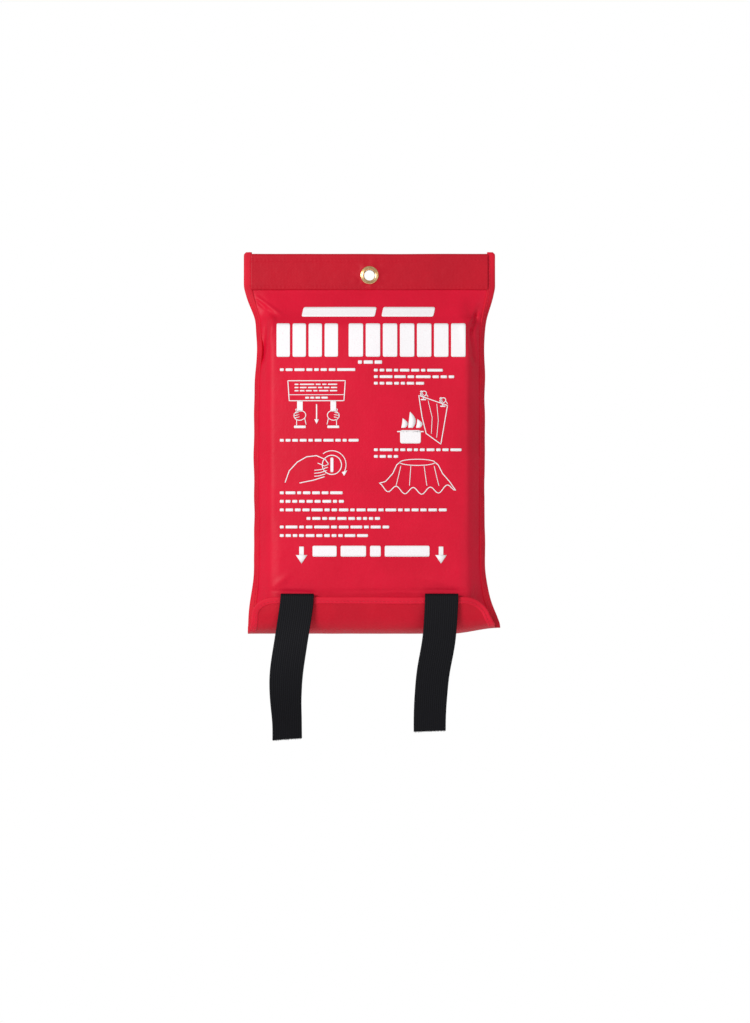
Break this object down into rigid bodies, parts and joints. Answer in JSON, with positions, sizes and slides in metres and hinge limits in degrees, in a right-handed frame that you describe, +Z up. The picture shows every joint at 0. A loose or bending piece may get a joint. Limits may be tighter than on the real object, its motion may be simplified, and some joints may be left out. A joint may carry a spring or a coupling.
{
  "type": "fire blanket",
  "caption": "Soft wall-hung fire blanket: folded glass cloth in a red sewn pouch with an eyelet header, a closure flap over the mouth and hanging black pull tabs.",
  "frame": {"origin": "centre of the hanging eyelet, on the wall plane behind the pouch", "axes": "+Z up, the pouch's front faces -Y, the wall is the plane y = 0, +X is to the right seen from the front"},
  "size_m": [0.19, 0.0276, 0.3677],
  "materials": {
    "pouch_fabric": "satin",
    "binding_tape": "satin",
    "sewing_thread": "matte",
    "webbing": "matte",
    "hook_and_loop": "matte",
    "glass_cloth": "matte",
    "brass": "polished",
    "print_ink": "satin"
  },
  "bodies": {
    "pouch": {"back_panel": "pouch_fabric", "front_panel": "pouch_fabric", "header_band": "pouch_fabric", "side_binding_left": "binding_tape", "side_binding_right": "binding_tape", "side_stitching_left": "sewing_thread", "side_stitching_right": "sewing_thread", "header_top_stitching": "sewing_thread", "header_seam_stitching": "sewing_thread", "eyelet": "brass", "eyelet_washer": "brass", "loop_tape": "hook_and_loop"},
    "blanket": {"blanket_cloth": "glass_cloth", "tab_left_anchor": "webbing", "tab_right_anchor": "webbing"},
    "flap": {"closure_flap": "pouch_fabric", "flap_binding": "binding_tape", "flap_stitching": "sewing_thread", "hook_tape": "hook_and_loop", "tab_left_fold": "webbing", "tab_right_fold": "webbing"},
    "tab_left_top": {"tab_left_bend": "webbing"},
    "tab_right_top": {"tab_right_bend": "webbing"},
    "tab_left": {"tab_left_strap": "webbing"},
    "tab_right": {"tab_right_strap": "webbing"}
  },
  "joints": [
    {"name": "blanket_pull", "type": "slide", "parent": "pouch", "child": "blanket", "axis": [0, 0, -1], "range_m": [0, 0.055]},
    {"name": "flap_open", "type": "hinge", "parent": "pouch", "child": "flap", "pos_m": [0, -0.0013, -0.2705], "axis": [1, 0, 0], "range_deg": [0, 122.4]},
    {"name": "tab_left_hang", "type": "hinge", "parent": "flap", "child": "tab_left_top", "pos_m": [0, -0.02703, -0.2412], "axis": [1, 0, 0], "range_deg": [-122.4, 0]},
    {"name": "tab_right_hang", "type": "hinge", "parent": "flap", "child": "tab_right_top", "pos_m": [0, -0.02703, -0.2412], "axis": [1, 0, 0], "range_deg": [-122.4, 0]},
    {"name": "tab_left_swing", "type": "hinge", "parent": "tab_left_top", "child": "tab_left", "pos_m": [0, -0.02703, -0.2535], "axis": [-1, 0, 0], "range_deg": [0, 80]},
    {"name": "tab_right_swing", "type": "hinge", "parent": "tab_right_top", "child": "tab_right", "pos_m": [0, -0.02703, -0.2535], "axis": [-1, 0, 0], "range_deg": [0, 80]}
  ],
  "couplings": [
    {"joint": "flap_open", "follows": "blanket_pull", "rad_per_m": 38.81},
    {"joint": "tab_left_hang", "follows": "blanket_pull", "rad_per_m": -38.81},
    {"joint": "tab_right_hang", "follows": "blanket_pull", "rad_per_m": -38.81}
  ]
}
